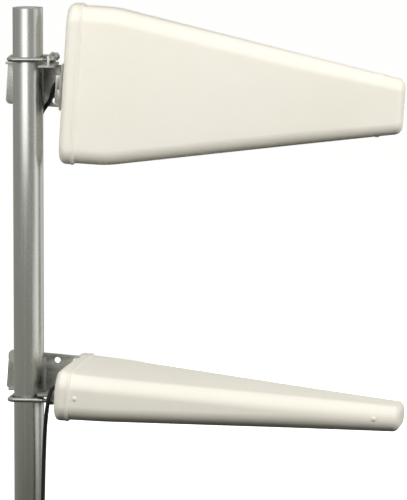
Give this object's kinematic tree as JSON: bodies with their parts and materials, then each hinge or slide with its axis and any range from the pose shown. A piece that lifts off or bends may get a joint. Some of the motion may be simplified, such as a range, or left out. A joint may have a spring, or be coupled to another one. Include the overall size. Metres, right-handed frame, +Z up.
{
  "type": "enclosed log-periodic antenna pair on a mast",
  "caption": "Tube mast with an upright and a level wedge-shaped directional antenna on toothed U-bolt clamps that turn and tilt, each with a short coaxial lead.",
  "frame": {"origin": "centre of the mast tube's foot", "axes": "+Z up along the mast, +X the way both antennas point, +Y away from the side that the lower cable hangs on"},
  "size_m": [0.5312, 0.2122, 0.8259],
  "materials": {
    "radome_plastic": "satin cream UV-stabilised ABS, fine moulded texture",
    "mast_steel": "drawn stainless tube, fine lengthwise grain",
    "bracket_steel": "galvanised folded sheet, dull grey",
    "zinc_steel": "bright zinc-plated fasteners and rod",
    "black_rubber": "matt black rubber",
    "cable_jacket": "satin black cable jacket",
    "bare_aluminium": "mill-finish aluminium",
    "nylon": "natural nylon",
    "nickel_brass": "nickel-plated brass",
    "brass": "plain brass contact"
  },
  "bodies": {
    "mast": {"mast_tube": "mast_steel"},
    "upper_clamp": {"upper_mast_bracket": "bracket_steel", "upper_u_bolt": "zinc_steel", "upper_u_bolt_washers": "zinc_steel", "upper_u_bolt_nuts": "zinc_steel", "upper_pivot_bolts": "zinc_steel", "upper_pivot_washers": "zinc_steel", "upper_pivot_nuts": "zinc_steel"},
    "upper_antenna": {"upper_radome": "radome_plastic", "upper_rear_cap": "radome_plastic", "upper_cap_gasket": "black_rubber", "upper_side_screws": "radome_plastic", "upper_boom_a": "bare_aluminium", "upper_boom_b": "bare_aluminium", "upper_elements_a": "bare_aluminium", "upper_elements_b": "bare_aluminium", "upper_boom_spacers": "nylon", "upper_front_block": "nylon", "upper_rear_block": "bare_aluminium", "upper_feed_cable": "cable_jacket", "upper_antenna_bracket": "bracket_steel", "upper_bracket_screws": "zinc_steel", "upper_cable_gland": "black_rubber", "upper_pigtail": "cable_jacket", "upper_heat_shrink": "black_rubber", "upper_connector_shell": "nickel_brass", "upper_connector_insulator": "nylon", "upper_connector_pin": "brass"},
    "lower_clamp": {"lower_mast_bracket": "bracket_steel", "lower_u_bolt": "zinc_steel", "lower_u_bolt_washers": "zinc_steel", "lower_u_bolt_nuts": "zinc_steel", "lower_pivot_bolts": "zinc_steel", "lower_pivot_washers": "zinc_steel", "lower_pivot_nuts": "zinc_steel"},
    "lower_antenna": {"lower_radome": "radome_plastic", "lower_rear_cap": "radome_plastic", "lower_cap_gasket": "black_rubber", "lower_side_screws": "radome_plastic", "lower_boom_a": "bare_aluminium", "lower_boom_b": "bare_aluminium", "lower_elements_a": "bare_aluminium", "lower_elements_b": "bare_aluminium", "lower_boom_spacers": "nylon", "lower_front_block": "nylon", "lower_rear_block": "bare_aluminium", "lower_feed_cable": "cable_jacket", "lower_antenna_bracket": "bracket_steel", "lower_bracket_screws": "zinc_steel", "lower_cable_gland": "black_rubber", "lower_pigtail": "cable_jacket", "lower_heat_shrink": "black_rubber", "lower_connector_shell": "nickel_brass", "lower_connector_insulator": "nylon", "lower_connector_pin": "brass"}
  },
  "joints": [
    {"name": "upper_azimuth", "type": "hinge", "parent": "mast", "child": "upper_clamp", "pos_m": [0, 0, 0.724], "axis": [0, 0, 1], "continuous": true},
    {"name": "upper_tilt", "type": "hinge", "parent": "upper_clamp", "child": "upper_antenna", "pos_m": [0, 0.0305, 0.716], "axis": [0, 1, 0], "range_deg": [-8.6, 6.4]},
    {"name": "lower_azimuth", "type": "hinge", "parent": "mast", "child": "lower_clamp", "pos_m": [0, 0, 0.323], "axis": [0, 0, 1], "continuous": true},
    {"name": "lower_tilt", "type": "hinge", "parent": "lower_clamp", "child": "lower_antenna", "pos_m": [0.00213, 0.03043, 0.331], "axis": [0.0698, 0.9976, 0], "range_deg": [-9, 6]}
  ]
}
